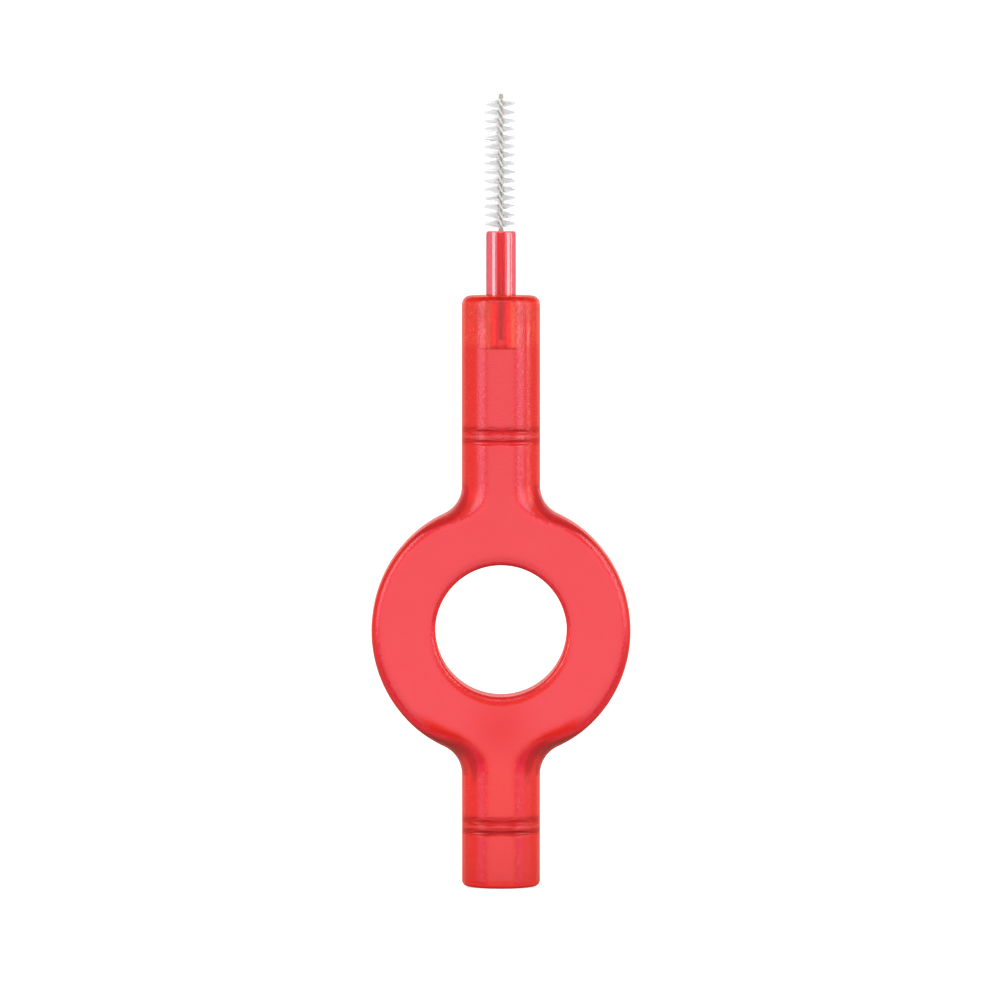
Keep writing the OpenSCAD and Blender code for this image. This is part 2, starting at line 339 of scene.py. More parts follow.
def ring_part(shape):
    """Points and quads of the ring with its hollow corners. Each column runs along the ray from an outline point to
    the hole over the front, through the hole's wall, and back over the rear face and the outer wall."""
    s = shape.s
    ox, oz = outline(shape)
    reach = np.hypot(ox, oz)[:, None]
    rounding = 1 - np.cos(quarter_arc(RIM_STEPS))
    hole_rounding = 1 - np.cos(quarter_arc(HOLE_RIM_STEPS)[::-1])
    face = np.linspace(0, 1, FACE_STEPS + 1)[1:-1]
    low, high = s.hole_r + s.hole_rim_r, reach - s.ring_rim_r
    r = np.concatenate([
        reach - s.ring_rim_r * rounding,
        high + (low - high) * face,
        np.broadcast_to(s.hole_r + s.hole_rim_r * hole_rounding, (len(ox), HOLE_RIM_STEPS + 1)),
    ], 1)
    x, z = ox[:, None] / reach * r, oz[:, None] / reach * r
    half = shape.half_depth(x, z)
    across = np.linspace(-1, 1, WALL_STEPS + 1)[1:-1]

    def wall(column, steps):
        """x, z and y of a wall, whose y is the half depth in a column times the steps."""
        return [np.broadcast_to(v[:, column, None], (len(ox), len(steps))) for v in (x, z)] + [
            half[:, column, None] * steps]

    hole_x, hole_z, hole_y = wall(-1, across)
    outer_x, outer_z, outer_y = wall(0, -across)
    px = np.concatenate([x, hole_x, x[:, ::-1], outer_x], 1)
    pz = np.concatenate([z, hole_z, z[:, ::-1], outer_z], 1)
    py = np.concatenate([-half, hole_y, half[:, ::-1], outer_y], 1)
    points = np.stack([px, py, pz + s.ring_z], -1).reshape(-1, 3)
    columns = px.shape[1]
    quads = grid_quads(len(ox), columns, True, True)
    # No outer wall along the level lines where the arms start
    level = np.isclose(np.abs(oz), shape.centre_z)
    i, j = quads[:, 0] // columns, quads[:, 0] % columns
    on_wall = j >= columns - WALL_STEPS
    keep = ~(on_wall & level[i] & level[(i + 1) % len(ox)])
    return points, quads[keep]


def arm_part(shape, sign, end, end_r, crown, inner):
    """Points and quads of an arm: a section carried along it. A section of radius r is x = r cos w and
    |y| = the smooth smaller of r |sin w| and the flat, with the grooves cut in. Each row has its own r, height and
    flat: the straight part, the end's rounding end_r - end_r(1 - sin t), and then the rows of inner. The end is
    shortened by crown * (x / arm_r)^2, which fades out over the last millimetre of the straight part."""
    s = shape.s
    edge = end - end_r
    middle = s.groove_reach - sign * s.groove_drop
    half_pair = s.groove_h + s.ridge_h / 2 + FINE_PAST
    fine = np.arange(middle - half_pair, middle + half_pair, FINE_ROW_H)
    coarse = np.arange(shape.centre_z, edge, ROW_H)
    coarse = coarse[(coarse < fine[0] - FINE_NEAR) | (coarse > fine[-1] + FINE_NEAR)]
    straight = np.sort(np.concatenate([coarse, fine]))
    t = quarter_arc(END_STEPS)
    round_r = s.arm_r - end_r * (1 - np.cos(t))
    round_z = edge + end_r * np.sin(t)
    r = np.concatenate([np.full(len(straight), s.arm_r), round_r, inner[:, 0]])
    z = np.concatenate([straight, round_z, inner[:, 1]])
    flat = np.concatenate([np.full(len(straight), s.half_thick), s.half_thick - (s.arm_r - round_r),
                           np.full(len(inner), NO_FLAT)])
    w = np.arange(4 * ARM_STEPS) * (np.pi / 2 / ARM_STEPS)
    x = r[:, None] * np.cos(w)
    half = smooth_min(flat[:, None], r[:, None] * np.abs(np.sin(w)), FLAT_EDGE)
    outside = (np.arange(len(z)) < len(straight))[:, None]
    half = np.where(outside, shape.groove_depths(x, sign * z[:, None], half), half)
    y = np.where(np.sin(w) >= 0, -half, half)
    fade = ramp(z, edge - MM, edge)[:, None]
    zz = s.ring_z + sign * (z[:, None] - crown * (x / s.arm_r) ** 2 * fade)
    points = np.stack([x, y, zz], -1).reshape(-1, 3)
    return points, grid_quads(len(z), len(w), close_columns=True)


def profile(*stretches):
    """Rows (r, z) of several stretches, in each of which r or z may be one value. The first row of each is left
    out, because the rows before end there."""
    return np.concatenate([np.stack(np.broadcast_arrays(r, z), -1)[1:] for r, z in stretches])


def handle_mesh(s):
    """The ring's sheets, the upper arm with its socket and the lower arm, joined along the level lines."""
    shape = HandleShape(s)
    upper, lower = HANDLE_HIGH.z - s.ring_z, s.ring_z - HANDLE_LOW.z
    floor = SHANK_LOW.z - s.ring_z - SOCKET_SPACE
    mouth_r, mouth_z = s.socket_r + s.socket_rim_r, upper - s.socket_rim_r
    t = quarter_arc(SOCKET_STEPS)
    socket = profile(
        (np.linspace(s.arm_r - s.upper_end_r, mouth_r, MOUTH_ROWS), upper),
        (mouth_r - s.socket_rim_r * np.sin(t), upper - s.socket_rim_r * (1 - np.cos(t))),
        (s.socket_r, np.linspace(mouth_z, floor + s.socket_floor_r, SOCKET_ROWS)),
        (s.socket_r - s.socket_floor_r * (1 - np.cos(t)), floor + s.socket_floor_r * (1 - np.sin(t))),
        (s.socket_r * SOCKET_FLOOR, floor),
    )
    end = profile((np.linspace(s.arm_r - s.lower_end_r, 0, END_ROWS), lower))
    return joined([
        ring_part(shape),
        arm_part(shape, 1, upper, s.upper_end_r, 0, socket),
        arm_part(shape, -1, lower, s.lower_end_r, s.lower_crown, end),
    ])


# ---- depth of the handle's colour, which paints its shade and highlights

# Painted shade in a groove, its change by pair and by groove, and the share of it that a ridge takes off as a
# painted highlight; the grooves' middle x, and the width over which their sides fade
GROOVE_SHADE, GROOVE_SHADE_CHANGE, RIDGE_HIGHLIGHT = 1.12, 0.17, 0.8
GROOVE_SHIFT, GROOVE_FADE = 0.25 * MM, 0.8 * MM
# Shares of a ridge's height from its middle at which its painted highlight ends and is full
RIDGE_END, RIDGE_FULL = 0.7, 0.2
# Painted shade, a dark band in a hollow corner: what it adds, its fade, distance from the outline, width, and
# end past the corner's centre; LOW is for the lower corners
CORNER_SHADE, CORNER_FADE = 1.05, 3 * MM
BAND_INSET, LOW_BAND_INSET, BAND_WIDTH = 0.42 * MM, 1.05 * MM, 0.34 * MM
BAND_END, LOW_BAND_END = 0.9 * MM, 1.9 * MM
# Painted shade, a dark line along the ring's outline: what it adds, its distance from it and its width; what the
# painted dark line at the hole's lower edge adds; distance from the hole at which band and outline's line begin
RIM_SHADE, RIM_INSET, RIM_WIDTH = 0.42, 0.26 * MM, 0.15 * MM
HOLE_SHADE, HOLE_SPACE = 0.55, 2 * MM
# Painted shade, a deeper zone below the hole: what it adds, its distance from the ring's centre and its width
LOW_SHADE, LOW_PLACE, LOW_WIDTH = 0.25, 7.9 * MM, 3.3941 * MM
# Value inside the socket, and how far past its wall and floor it counts
IN_SOCKET, PAST_WALL, PAST_FLOOR = -1, 0.01 * MM, 0.1 * MM


def mark_painted_shade(piece, shape):
    """Stores on each vertex as side how far the surface turns from the front and the back, sqrt(1 - ny^2), where ny
    is the normal's part along Y, and as turn how deep its colour is, which paints shade and highlights: side as
    painted shade, less on the ridge between two grooves as a painted highlight, or the grooves' own painted shade
    where that is more, plus painted shade as a bell of the distance to the outline in the hollow corners, narrow
    ones along the ring's outline and at the hole's lower edge, and a wide one about a point below the hole. Inside
    the socket it is IN_SOCKET."""
    s, mesh = shape.s, piece.data
    x, y, z = vectors(mesh.vertices, "co").T
    side = np.sqrt(np.maximum(1 - vectors(mesh.vertex_normals, "vector")[:, 1] ** 2, 0))
    up = z - s.ring_z
    lower, reach, radius, inset = up < 0, np.abs(up), np.hypot(x, up), shape.edge_distance(x, up)
    past_ridge = shape.past_ridge(up)
    ridge = ramp(np.abs(past_ridge), RIDGE_END * s.ridge_h, RIDGE_FULL * s.ridge_h)
    shown = ramp(np.abs(x - GROOVE_SHIFT), s.groove_w / 2, s.groove_w / 2 - GROOVE_FADE)
    groove = (GROOVE_SHADE + GROOVE_SHADE_CHANGE * (np.sign(past_ridge) - np.sign(up))) * shape.groove_share(up) * shown
    by_outline = radius > s.hole_r + HOLE_SPACE
    band_end = shape.centre_z + np.where(lower, LOW_BAND_END, BAND_END)
    # turn is painted shade where the surface turns sideways, in the grooves and hollow corners, along the ring's
    # outline, at the hole's lower edge and below the hole; the ridges are painted lighter as a highlight
    turn = (
        np.maximum(side * (1 - RIDGE_HIGHLIGHT * ridge), groove)
        + CORNER_SHADE * bell(inset - np.where(lower, LOW_BAND_INSET, BAND_INSET), BAND_WIDTH) * by_outline
        * ramp(reach, shape.touch_z - CORNER_FADE, shape.touch_z) * ramp(reach, band_end, band_end - CORNER_FADE)
        + RIM_SHADE * bell(inset - RIM_INSET, RIM_WIDTH) * by_outline * (reach < shape.centre_z)
        + LOW_SHADE * bell(np.hypot(x, up + LOW_PLACE), LOW_WIDTH)
        + HOLE_SHADE * bell(radius - s.hole_r - s.hole_rim_r, RIM_WIDTH) * ramp(-up, 0, s.hole_r)
    )
    in_socket = (np.hypot(x, y) < s.socket_r + PAST_WALL) & (z > SHANK_LOW.z - PAST_FLOOR)
    store(piece, "turn", np.where(in_socket, IN_SOCKET, turn))
    store(piece, "side", side)


# ---- shapes of the shank, the wire and the filaments

# Steps of the shank's roundings, rows of its wall, points round it, and share of its radius at its end faces' row
SHANK_ROUND_STEPS, SHANK_ROWS, SHANK_SIDES, END_SHARE = 8, 20, 72, 0.4
# Rows in one turn of the wire's twist, steps of its fold and points round the wire
TWIST_ROWS, FOLD_STEPS, WIRE_SIDES = 24, 16, 12
# Turns of the wire from the first row to the last, and past each before it runs straight
ROW_TURNS, PAST_ROW = (len(ROW_NODES) - 1) / 2, 0.25
# Points round a filament; shares of its length at its rings, and its radius there
STRAND_SIDES = 5
STRAND_SHARES = np.array([0.0, 0.0, 0.35, 0.7, 0.97, 1.0])
STRAND_TAPER = np.array([0.0, 1.0, 1.0, 1.0, 0.95, 0.0])
# A filament's start from the axis; spreads of its angle in radians, and of its tip inwards, up and sideways
STRAND_START = 0.03 * MM
ANGLE_SPREAD, TRIM_SPREAD, LEAN_SPREAD, BEND_SPREAD = 0.14, 0.03 * MM, 0.035 * MM, 0.03 * MM


def shank_mesh(s):
    """A profile (r, z) turned about the axis: foot, its rounding, wall, the rim's rounding and the outer end."""
    low, high = SHANK_LOW.z, SHANK_HIGH.z
    t = quarter_arc(SHANK_ROUND_STEPS)
    inner = END_SHARE * s.radius
    r = np.concatenate([[0, inner], s.radius - s.foot_r * (1 - np.sin(t)), np.full(SHANK_ROWS, s.radius),
                        s.radius - s.rim_r * (1 - np.cos(t)), [inner, 0]])
    z = np.concatenate([[low, low], low + s.foot_r * (1 - np.cos(t)),
                        np.linspace(low + s.foot_r, high - s.rim_r, SHANK_ROWS + 2)[1:-1],
                        high - s.rim_r + s.rim_r * np.sin(t), [high, high]])
    r, z, w = r[:, None], z[:, None], np.arange(SHANK_SIDES) * (2 * np.pi / SHANK_SIDES)
    points = np.stack(np.broadcast_arrays(r * np.cos(w), r * np.sin(w), z), -1)
    return points.reshape(-1, 3), grid_quads(len(r), SHANK_SIDES, close_columns=True)


def tube(centres, radii, out, sides):
    """Rings along a line: each is centre + radius(cos k out' + sin k across), where across is the line's direction
    crossed with out and out' is square to both. A radius of 0 closes an end."""
    along = np.gradient(centres, axis=-2)
    along /= np.linalg.norm(along, axis=-1, keepdims=True)
    across = np.cross(along, out)
    across /= np.linalg.norm(across, axis=-1, keepdims=True)
    square = np.cross(across, along)
    k = np.arange(sides) * (2 * np.pi / sides)
    ring = np.cos(k)[:, None] * square[..., None, :] + np.sin(k)[:, None] * across[..., None, :]
    return centres[..., None, :] + radii[..., None, None] * ring


def leg_angle(s, z):
    """The legs' turn about the axis: a left-handed twist, square to the filaments that it clamps, and straight
    below the first row and above the last."""
    turned = np.clip((z - s.first_row_z) / s.pitch, -PAST_ROW, ROW_TURNS + PAST_ROW)
    return -2 * np.pi * turned + np.pi / 2


def wire_mesh(s):
    """One tube up a leg, over the fold and down the other leg. The centre line is offset(cos q, sin q) at angle
    q(z); over the fold the offset falls with the cosine and the height rises with the sine of half a turn. The two
    closed ends take the direction of the line beside them."""
    low, top = TAIL_LOW.z, WIRE_HIGH.z - s.leg_offset - s.wire_r
    z = np.linspace(low, top, int((top - low) / s.pitch * TWIST_ROWS))
    fold = np.linspace(0, np.pi, FOLD_STEPS + 1)[1:-1]
    height = np.concatenate([z, top + s.leg_offset * np.sin(fold), z[::-1]])
    side = np.concatenate([np.ones(len(z)), np.cos(fold), -np.ones(len(z))])
    rise = np.concatenate([np.zeros(len(z)), np.sin(fold), np.zeros(len(z))])
    q = leg_angle(s, height)
    centres = np.stack([side * s.leg_offset * np.cos(q), side * s.leg_offset * np.sin(q), height], -1)
    out = np.stack([side * np.cos(q), side * np.sin(q), rise], -1)
    radii = np.full(len(height), s.wire_r)
    radii[[0, -1]] = 0
    centres[0], centres[-1] = centres[1], centres[-2]
    line = centres.copy()
    line[0], line[-1] = 2 * line[1] - line[2], 2 * line[-2] - line[-3]
    points = tube(line, radii, out, WIRE_SIDES) + (centres - line)[:, None, :]
    return points.reshape(-1, 3), grid_quads(len(height), WIRE_SIDES, close_columns=True)


def row_mesh(s, wire, index):
    """The strands of one row. A strand starts between the wire's legs and runs outwards at its height's angle; it
    leans and curves by small random amounts times the square of its length's share. The tips lie on a cylinder
    whose middle is shifted to the left: shift * -cos a + sqrt(tip_r^2 - (shift sin a)^2) from the wire."""
    random = np.random.default_rng(s.seed + index)
    row_h = wire.pitch / 2
    order = np.repeat(np.arange(s.per_row), 2)
    side = np.tile([1.0, -1.0], s.per_row)
    z = wire.first_row_z + (index - 0.5) * row_h + (order + 0.5) * row_h / s.per_row
    angle = leg_angle(wire, z) + np.pi / 2 + random.normal(0, ANGLE_SPREAD, len(z))
    trimmed = np.sqrt(s.tip_r ** 2 - (s.shift * np.sin(angle)) ** 2) - s.shift * side * np.cos(angle)
    reach = trimmed - np.abs(random.normal(0, TRIM_SPREAD, len(z)))
    lean = random.normal(0, LEAN_SPREAD, len(z))
    bend = random.normal(0, BEND_SPREAD, len(z))
    square = STRAND_SHARES ** 2
    along = np.stack([side * np.cos(angle), side * np.sin(angle), np.zeros(len(z))], -1)
    across = np.stack([-along[:, 1], along[:, 0], np.zeros(len(z))], -1)
    out = STRAND_START + (reach[:, None] - STRAND_START) * STRAND_SHARES
    centres = out[..., None] * along[:, None, :] + square[:, None] * bend[:, None, None] * across[:, None, :]
    centres[..., 2] += z[:, None] + lean[:, None] * square
    up = np.zeros_like(centres)
    up[..., 2] = 1
    line = centres.copy()
    line[:, 0] = 2 * line[:, 1] - line[:, 2]
    radii = np.broadcast_to(s.filament_r * STRAND_TAPER, out.shape)
    points = tube(line, radii, up, STRAND_SIDES) + (centres - line)[:, :, None, :]
    quads = grid_quads(len(STRAND_SHARES), STRAND_SIDES, close_columns=True)
    starts = np.arange(len(z)) * (len(STRAND_SHARES) * STRAND_SIDES)
    return points.reshape(-1, 3), (quads[None] + starts[:, None, None]).reshape(-1, 4)


# ---- materials

# The handle's tones, in the order in which handle_plastic lays them: the flats' pink with a painted reflection,
# painted shade low down, painted light where the arm is hollow, painted shade where the surface turns sideways with
# a painted pink highlight, painted light at the very side, painted shade in the hollows and on the rounded foot and
# top, and the nearly clear tone inside the socket
FLAT_TONES_AND_REFLECTION = (0.83, 0.142, 0.2), (0.86, 0.162, 0.225)
LOWER_SHADE_TONE = (0.89, 0.14, 0.165)
SLEEVE_LIGHT_TONE = (0.93, 0.38, 0.4)
SIDE_SHADE_TONE = (0.76, 0.02, 0.012)
PINK_HIGHLIGHT_TONE = (0.72, 0.004, 0.05)
OUTER_GLOW_TONE = (1.0, 0.24, 0.13)
HOLLOW_SHADE_TONE = (0.42, 0.006, 0.01)
FOOT_SHADE_TONE = (1.0, 0.02, 0.008)
TOP_SHADE_TONE = (0.66, 0.004, 0.001)
SOCKET_TONE = (1.0, 0.95, 0.95)
# Values of turn, and then of side, between which these tones come in or go out
SIDE_SHADE_TURNS, HOLLOW_SHADE_TURNS, SOCKET_TURNS = (0.05, 0.62), (0.98, 1.4), (-0.4, -0.6)
PINK_HIGHLIGHT_IN, PINK_HIGHLIGHT_OUT, OUTER_GLOW_SIDES = (0.3, 0.42), (0.66, 0.52), (0.9, 0.99)
# Most of the turned surface's painted shade; the grain's values between which its specks change, and their shares
SIDE_SHADE_FULL, SPECK_GRAIN, SPECKS = 1.3, (0.3, 0.7), (0.5, 1.5)
# Heights between which the others come in: painted shade over z = 0 and at the low end and the high end, and
# painted light over the socket's floor
LOWER_HEIGHTS = 13 * MM, 8 * MM
FOOT_HEIGHTS = 0.45 * MM, 0.25 * MM
TOP_HEIGHTS = -0.6 * MM, -0.4 * MM
SLEEVE_HEIGHTS = -0.1 * MM, 0.5 * MM
# Roughness where the cloud noise is 0, in the socket and elsewhere, and where it is 1
SOCKET_ROUGH, LOW_ROUGH, HIGH_ROUGH = 0.36, 0.2, 0.26
# Band that a cap has polished: its height, its share of the roughness, and the distances over which it ends
POLISHED_Z, POLISHED, POLISHED_ENDS = 44.8 * MM, 0.4, (0.2 * MM, 1.5 * MM)

# The shank's tones, its roughness given like the handle's, and the height over which its seated part ends
SHANK_TONES = (0.97, 0.17, 0.23), (0.98, 0.19, 0.26)
SEATED_ROUGH, FREE_ROUGH, SHANK_ROUGH, SEAT_H = 0.25, 0.1, 0.15, 0.3 * MM
# The wire's tones in the shank, a painted red shade, and where it is straight or folded, a painted darker
# shade, each with the height over which it comes in; shares of the steel's tone and its roughness, mixed by noise
HELD_SHADE_TONE, HELD_H = (1.0, 0.035, 0.015), 0.02 * MM
DULL_SHADE_TONE, DULL_H = (0.42, 0.39, 0.33), 0.1 * MM
STEEL_SHADES, STEEL_ROUGH = (0.8, 1.15), (0.6, 0.75)
# Shares of the nylon's tone, mixed by noise
NYLON_SHADES = 0.94, 1.04
# Index of refraction and height of the relief of both mouldings
PLASTIC_IOR, RELIEF_H = 1.49, 0.02 * MM
# The floor's lift for rays through the plastic, the distances over which it comes in, and its lift for camera rays;
# its white, and what reflections see
FAR_LIFT, LIFT_REACH, CAMERA_LIFT = 0.42, (0.03, 0.25), 0.6
FLOOR_WHITE, FLOOR_MIRRORED = 0.8, 0.2


class Nodes:
    """A node tree with short calls."""

    def __init__(self, tree):
        self.tree = tree

    def add(self, kind, inputs=None, **values):
        """A node with its values. Its inputs are linked to sockets and set to values."""
        node = self.tree.nodes.new(kind)
        for name, value in values.items():
            setattr(node, name, value)
        for name, value in (inputs or {}).items():
            if isinstance(value, bpy.types.NodeSocket):
                self.tree.links.new(value, node.inputs[name])
            else:
                node.inputs[name].default_value = value
        return node

    def fade(self, value, start, end, low=0.0, high=1.0, smooth=False):
        """low up to start and high from end on, straight or the smooth step between. The end may be the smaller."""
        if start > end:
            start, end, low, high = end, start, high, low
        inputs = {"Value": value, "From Min": start, "From Max": end, "To Min": low, "To Max": high}
        kind = "SMOOTHSTEP" if smooth else "LINEAR"
        return self.add("ShaderNodeMapRange", inputs, interpolation_type=kind).outputs["Result"]

    def between(self, share, first, second):
        """The first value where the share is 0, the second where it is 1, straight between."""
        return self.fade(share, 0.0, 1.0, first, second)

    def mix(self, share, first, second):
        """The first colour, and the second by its share."""
        first, second = (c if isinstance(c, bpy.types.NodeSocket) else with_alpha(c) for c in (first, second))
        inputs = {"Factor": share, "A": first, "B": second}
        return self.add("ShaderNodeMix", inputs, data_type="RGBA").outputs["Result"]

    def math(self, operation, first, second=0.0, clamp=False):
        """The result of an operation on one or two values."""
        return self.add("ShaderNodeMath", {0: first, 1: second}, operation=operation, use_clamp=clamp).outputs[0]

    def place(self, output="Object"):
        """The place on the piece, or another kind of coordinates."""
        return self.add("ShaderNodeTexCoord").outputs[output]

    def parts(self, vector):
        """The X, Y and Z of a vector."""
        return self.add("ShaderNodeSeparateXYZ", {"Vector": vector}).outputs

    def noise(self, scale, detail):
        """Soft noise over the piece, from 0 to 1."""
        inputs = {"Vector": self.place(), "Scale": scale, "Detail": detail}
        return self.add("ShaderNodeTexNoise", inputs).outputs["Fac"]

    def stored(self, name):
        """A value that the piece's vertices carry."""
        return self.add("ShaderNodeAttribute", attribute_name=name).outputs["Fac"]

    def end(self, **inputs):
        """Ends a material with its Surface and its Volume."""
        self.add("ShaderNodeOutputMaterial", inputs)

    def plastic(self, tint, density, relief, strength, inputs):
        """Ends a material as refracting plastic with a fine relief. After d metres inside it, the share
        exp((tint - 1) * density * d) of the light is left."""
        bump = self.add("ShaderNodeBump", {"Height": relief, "Strength": strength, "Distance": RELIEF_H})
        given = {"IOR": PLASTIC_IOR, "Normal": bump.outputs["Normal"], **inputs}
        shader = self.add("ShaderNodeBsdfPrincipled", given)
        absorbing = self.add("ShaderNodeVolumeAbsorption", {"Color": with_alpha(tint), "Density": density})
        self.end(Surface=shader.outputs["BSDF"], Volume=absorbing.outputs["Volume"])


def new_material(name):
    """A material and its empty node tree."""
    material = bpy.data.materials.new(name)
    material.use_nodes = True
    material.node_tree.nodes.clear()
    return material, Nodes(material.node_tree)


def with_alpha(colour):
    """The colour as a node's input takes it."""
    return (*colour, 1.0)


def shades(colour, shares):
    """The colour times each of the shares, at most white."""
    return [[min(part * share, 1) for part in colour] for share in shares]


def handle_plastic(tint, low, high, bored):
    """Clear red moulding with a fine spark-eroded texture: rough refraction through tinted plastic, more absorbed
    along a longer path inside, and a red bloom at glancing angles. The tone has layers, most of them painted light
    and shade: pink on the flats, partly a painted reflection; warmer low down, as painted shade; paler above the
    height bored, where the arm is hollow, as painted light; orange-red with specks where the surface turns
    sideways, as painted shade, with a pink zone of painted highlight; lighter at the very side, as painted light;
    dark red in the hollows, as painted shade; a purer red on the rounded ends at the heights low and high, as
    painted shade; nearly clear inside the socket, where the light has passed the outer skin. It is rougher in the
    socket and smoother in a band of the upper arm."""
    material, n = new_material("handle plastic")
    turn, side, height = n.stored("turn"), n.stored("side"), n.parts(n.place())["Z"]
    grain, cloud = n.noise(scale=7000.0, detail=1.0), n.noise(scale=420.0, detail=2.0)

    # The flats' pink with a painted reflection, painted shade low down and painted light where the arm is hollow
    flat = n.mix(cloud, *FLAT_TONES_AND_REFLECTION)
    flat = n.mix(n.fade(height, *LOWER_HEIGHTS), flat, LOWER_SHADE_TONE)
    flat = n.mix(n.fade(height, *(bored + part for part in SLEEVE_HEIGHTS)), flat, SLEEVE_LIGHT_TONE)
    # Painted shade where the surface turns sideways, with painted specks and a painted pink highlight
    pink = n.math("MULTIPLY", n.fade(side, *PINK_HIGHLIGHT_IN), n.fade(side, *PINK_HIGHLIGHT_OUT))
    side_shade = n.fade(turn, *SIDE_SHADE_TURNS, high=SIDE_SHADE_FULL, smooth=True)
    specks = n.fade(grain, *SPECK_GRAIN, *SPECKS)
    tone = n.mix(n.math("MULTIPLY", side_shade, specks, clamp=True), flat, n.mix(pink, SIDE_SHADE_TONE, PINK_HIGHLIGHT_TONE))
    # Painted light at the very side, painted shade in the hollows and on the rounded ends, and the socket's clear
    # tone
    for share, layer in (
        (n.fade(side, *OUTER_GLOW_SIDES), OUTER_GLOW_TONE),
        (n.fade(turn, *HOLLOW_SHADE_TURNS), HOLLOW_SHADE_TONE),
        (n.fade(height, *(low + part for part in FOOT_HEIGHTS)), FOOT_SHADE_TONE),
        (n.fade(height, *(high + part for part in TOP_HEIGHTS)), TOP_SHADE_TONE),
        (n.fade(turn, *SOCKET_TURNS), SOCKET_TONE),
    ):
        tone = n.mix(share, tone, layer)

    rough = n.between(cloud, n.fade(turn, *SOCKET_TURNS, LOW_ROUGH, SOCKET_ROUGH), HIGH_ROUGH)
    from_band = n.math("ABSOLUTE", n.math("SUBTRACT", height, POLISHED_Z))
    rough = n.math("MULTIPLY", rough, n.fade(from_band, *POLISHED_ENDS, low=POLISHED, smooth=True))
    n.plastic(tint, density=205.0, relief=grain, strength=0.6, inputs={
        "Base Color": tone,
        "Roughness": rough,
        "Transmission Weight": 1.0,
        "Sheen Weight": 0.9,
        "Sheen Roughness": 0.35,
        "Sheen Tint": (1.0, 0.07, 0.02, 1),
    })
    return material


def shank_plastic(tint, seat):
    """The same kind of plastic, polished: a tinted red rod with a glossy skin and a faint moulding waviness. Below
    the height seat, inside the arm, it is a little rougher."""
    material, n = new_material("shank plastic")
    cloud = n.noise(scale=600.0, detail=2.0)
    seated = n.fade(n.parts(n.place())["Z"], seat - SEAT_H, seat, SEATED_ROUGH, FREE_ROUGH)
    n.plastic(tint, density=350.0, relief=cloud, strength=0.05, inputs={
        "Base Color": n.mix(cloud, *SHANK_TONES),
        "Roughness": n.between(cloud, seated, SHANK_ROUGH),
        "Transmission Weight": 0.95,
        "Coat Weight": 1.0,
        "Coat Roughness": 0.12,
        "Coat IOR": 1.9,
        "Sheen Weight": 0.5,
        "Sheen Roughness": 0.3,
        "Sheen Tint": (1.0, 0.3, 0.35, 1),
    })
    return material


def drawn_steel(steel, mouth, low, high):
    """Drawn stainless wire: metal with small changes of tone and roughness. Below the height low, where it runs
    straight, and above the height high, where it is folded, it is painted darker, a shade that tones down its
    reflections there. Below the height mouth it is painted deep red, for the red light and shade that it gets
    inside the plastic moulded round it. The heights are those at rest, stored on the wire, so that the tones go
    with it when it moves or bends."""
    material, n = new_material("drawn steel")
    height, marks = n.stored("height"), n.noise(scale=9000.0, detail=3.0)
    # Painted darker shade on the straight and folded parts, and painted deep red shade in the shank
    shaded_ends = n.math("MAXIMUM", n.fade(height, low, low - DULL_H), n.fade(height, high, high + DULL_H))
    tone = n.mix(shaded_ends, n.mix(marks, *shades(steel, STEEL_SHADES)), DULL_SHADE_TONE)
    tone = n.mix(n.fade(height, mouth, mouth - HELD_H), tone, HELD_SHADE_TONE)
    shader = n.add("ShaderNodeBsdfPrincipled", {"Base Color": tone, "Metallic": 0.25,
                                                "Roughness": n.between(marks, *STEEL_ROUGH)})
    n.end(Surface=shader.outputs["BSDF"])
    return material


def nylon(colour):
    """Translucent white nylon with slight changes of tone from strand to strand."""
    material, n = new_material("nylon filaments")
    tone = n.mix(n.noise(scale=3000.0, detail=1.0), *shades(colour, NYLON_SHADES))
    shader = n.add("ShaderNodeBsdfPrincipled", {"Base Color": tone, "Roughness": 0.3, "IOR": 1.53,
                                                "Transmission Weight": 0.85})
    n.end(Surface=shader.outputs["BSDF"])
    return material


def floor_finish():
    """Plain white floor that keeps shadows: a diffuse surface, raised for camera rays so that its lit part shows as
    white, and for rays through the plastic by the smooth step of the distance from the brush's foot. Reflections
    see it dark."""
    material, n = new_material("studio floor")
    path = n.add("ShaderNodeLightPath").outputs
    reach = n.add("ShaderNodeVectorMath", {0: n.place()}, operation="LENGTH").outputs["Value"]
    away = n.fade(reach, *LIFT_REACH, high=FAR_LIFT, smooth=True)
    raised = n.between(path["Is Camera Ray"], n.between(path["Is Transmission Ray"], 0.0, away), CAMERA_LIFT)
    mirrored = n.math("SUBTRACT", path["Is Glossy Ray"], path["Is Transmission Ray"], clamp=True)
    diffuse = n.add("ShaderNodeBsdfDiffuse", {"Color": n.between(mirrored, FLOOR_WHITE, FLOOR_MIRRORED)})
    lift = n.add("ShaderNodeEmission", {"Color": (1, 1, 1, 1), "Strength": raised})
    n.end(Surface=n.add("ShaderNodeAddShader", {0: diffuse.outputs[0], 1: lift.outputs[0]}).outputs[0])
    return material


# ---- operators

# Half of the floor's side, and how many points it has each way
FLOOR_HALF, FLOOR_POINTS = 40, 9
# The room's levels for reflections and the y between which they change, and the y between which it turns white
ROOM_LEVELS, ROOM_Y, BEHIND_Y = (0.2, 0.06), (-0.75, -0.1), (0.66, 0.92)
# Its levels for rays through the plastic and the |z| between which they change, and its level for scattered light
THROUGH_LEVELS, THROUGH_Z, SCATTERED = (0.95, 0.2), (0.2, 0.65), 0.85
